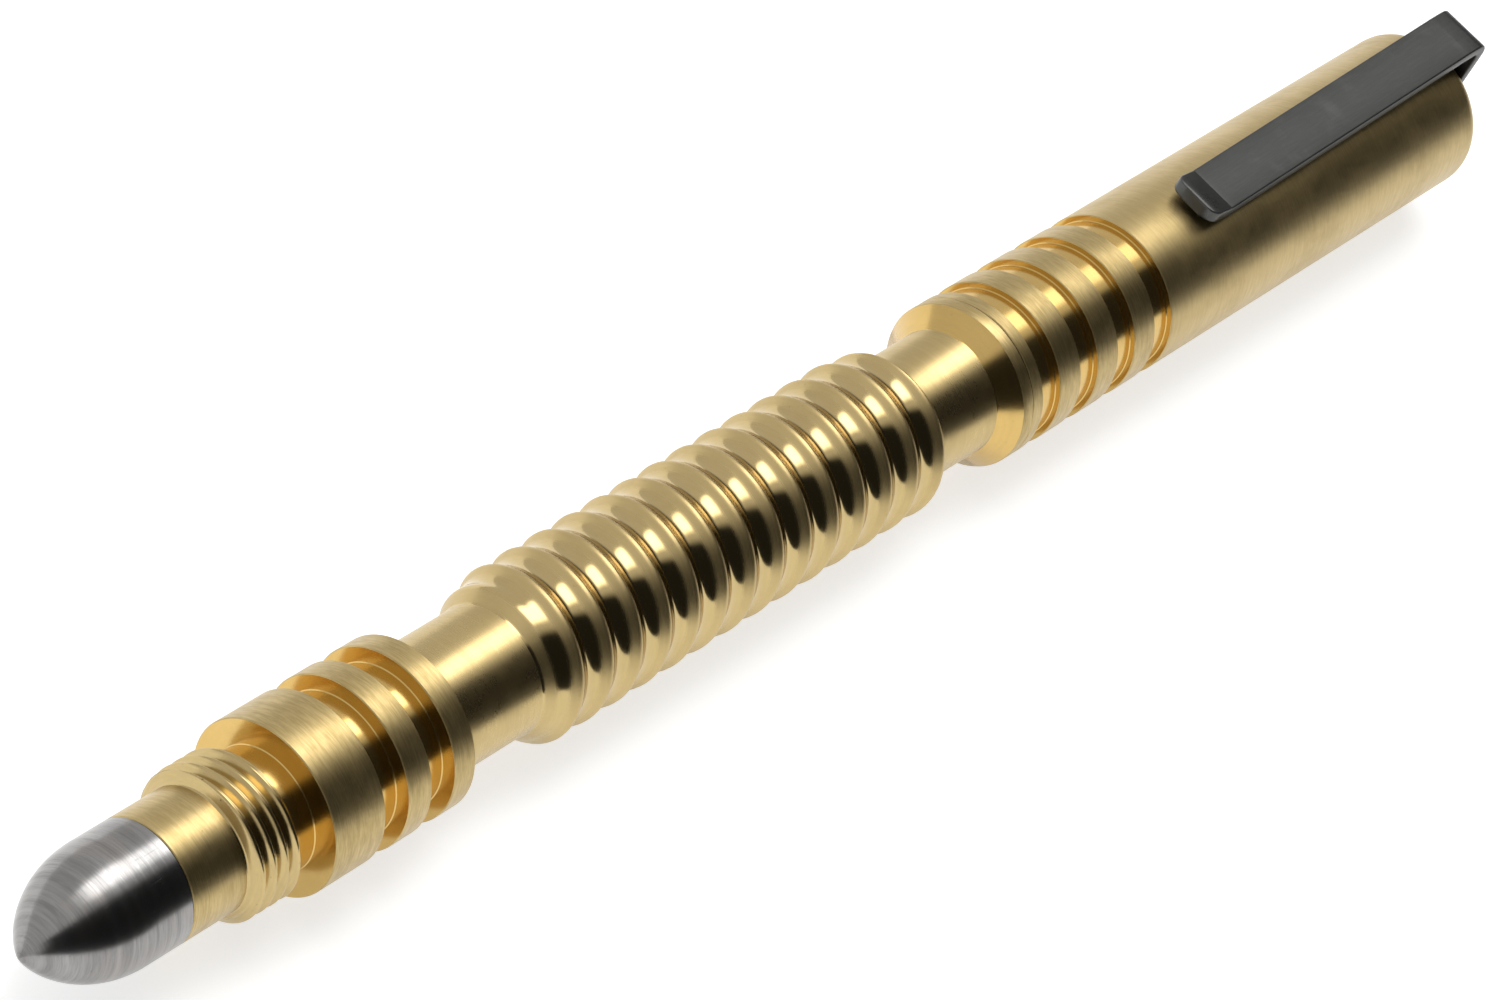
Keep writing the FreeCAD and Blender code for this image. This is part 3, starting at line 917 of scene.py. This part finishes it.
def light_the_room(studio):
    """A soft strip over the pen, a mid-grey wall behind it and an unlit side in front."""
    world = bpy.data.worlds.new("soft studio")
    world.use_nodes = True
    tree = world.node_tree
    tree.nodes.clear()
    direction = Strand(tree).node("ShaderNodeTexCoord", output="Generated")
    along = direction.part("X")
    # Lean is the angle in degrees from straight up towards -Y.
    lean = (0 - direction.part("Y")).maths("ARCTAN2", direction.part("Z")) * (180 / math.pi)
    strip = lean.span(-32.0, -25.0) * lean.span(-7.0, 5.0, 1.0, 0.0)
    strip = strip * along.span(-0.40, -0.02) * along.span(0.60, 0.82, 1.0, 0.0)
    front = lean.span(7.0, 21.0) * along.span(-0.95, -0.84)
    lit = (1 - front) * along.span(0.72, 0.92, 1.0, 0.0)
    level = lit * studio.room + (1 - lit) * studio.shade + strip * studio.strip
    glow = level.node("ShaderNodeBackground", None, {"Color": (1.0, 0.99, 0.98, 1), "Strength": level})
    glow.node("ShaderNodeOutputWorld", None, {"Surface": glow})
    bpy.context.scene.world = world


def place_camera(studio):
    """Looks along the studio's azimuth and elevation at a place on the pen's axis."""
    flat = math.cos(studio.elevation)
    forward = Vector((flat * math.sin(studio.azimuth), flat * math.cos(studio.azimuth),
                      -math.sin(studio.elevation)))
    level = forward.cross(Vector((0, 0, 1))).normalized()
    upright = level.cross(forward)
    right = level * math.cos(studio.roll) + upright * math.sin(studio.roll)
    up = upright * math.cos(studio.roll) - level * math.sin(studio.roll)
    target = Vector((POINT_X + studio.aim, 0, AXIS_Z))
    data = bpy.data.cameras.new("pen camera")
    data.sensor_width, data.lens = 36.0, studio.lens
    data.clip_start, data.clip_end = 0.01, 20.0
    camera = bpy.data.objects.new("pen camera", data)
    bpy.context.scene.collection.objects.link(camera)
    turn = Matrix((right, up, -forward)).transposed().to_4x4()
    camera.matrix_world = Matrix.Translation(target - forward * studio.distance + up * studio.lift) @ turn
    bpy.context.scene.camera = camera


class TURNEDPEN_OT_stage(bpy.types.Operator):
    """Lay the pale paper, light the room and place the camera"""

    bl_idname = "turned_pen.stage"
    bl_label = "Stage"

    def execute(self, context):
        studio = context.scene.turned_pen_studio
        reach = 2.5
        mesh = bpy.data.meshes.new("paper")
        corners = [(-reach, -reach, 0), (reach, -reach, 0), (reach, reach, 0), (-reach, reach, 0)]
        mesh.from_pydata(corners, [], [(0, 1, 2, 3)])
        mesh.materials.append(paper_material(tuple(studio.paper)))
        floor = bpy.data.objects.new("paper", mesh)
        context.scene.collection.objects.link(floor)
        light_the_room(studio)
        place_camera(studio)
        context.scene.view_settings.view_transform = "Standard"
        return {"FINISHED"}


# ---------------------------------------------------------------- add-on

class TURNEDPEN_PT_sidebar(bpy.types.Panel):
    """Lists the pieces of the pen and its stage"""

    bl_idname = "TURNEDPEN_PT_sidebar"
    bl_label = "Turned Pen"
    bl_space_type = "VIEW_3D"
    bl_region_type = "UI"
    bl_category = "Turned Pen"

    def draw(self, context):
        for operator in OPERATORS:
            self.layout.operator(operator.bl_idname)


GROUPS = {
    "turned_pen_metal": TurnedPenMetal,
    "turned_pen_shape": TurnedPenShape,
    "turned_pen_studio": TurnedPenStudio,
}
OPERATORS = (
    TURNEDPEN_OT_stage, TURNEDPEN_OT_barrel, TURNEDPEN_OT_striking_tip, TURNEDPEN_OT_cap,
    TURNEDPEN_OT_writing_point, TURNEDPEN_OT_clip, TURNEDPEN_OT_clip_screw,
)


def register():
    for name, group in GROUPS.items():
        bpy.utils.register_class(group)
        setattr(bpy.types.Scene, name, PointerProperty(type=group))
    for made in (*OPERATORS, TURNEDPEN_PT_sidebar):
        bpy.utils.register_class(made)


def unregister():
    for made in (TURNEDPEN_PT_sidebar, *reversed(OPERATORS)):
        bpy.utils.unregister_class(made)
    for name, group in GROUPS.items():
        delattr(bpy.types.Scene, name)
        bpy.utils.unregister_class(group)


def main():
    """Makes the stage and every piece."""
    register()
    for operator in OPERATORS:
        group, name = operator.bl_idname.split(".")
        getattr(getattr(bpy.ops, group), name)()


if __name__ == "__main__":
    main()
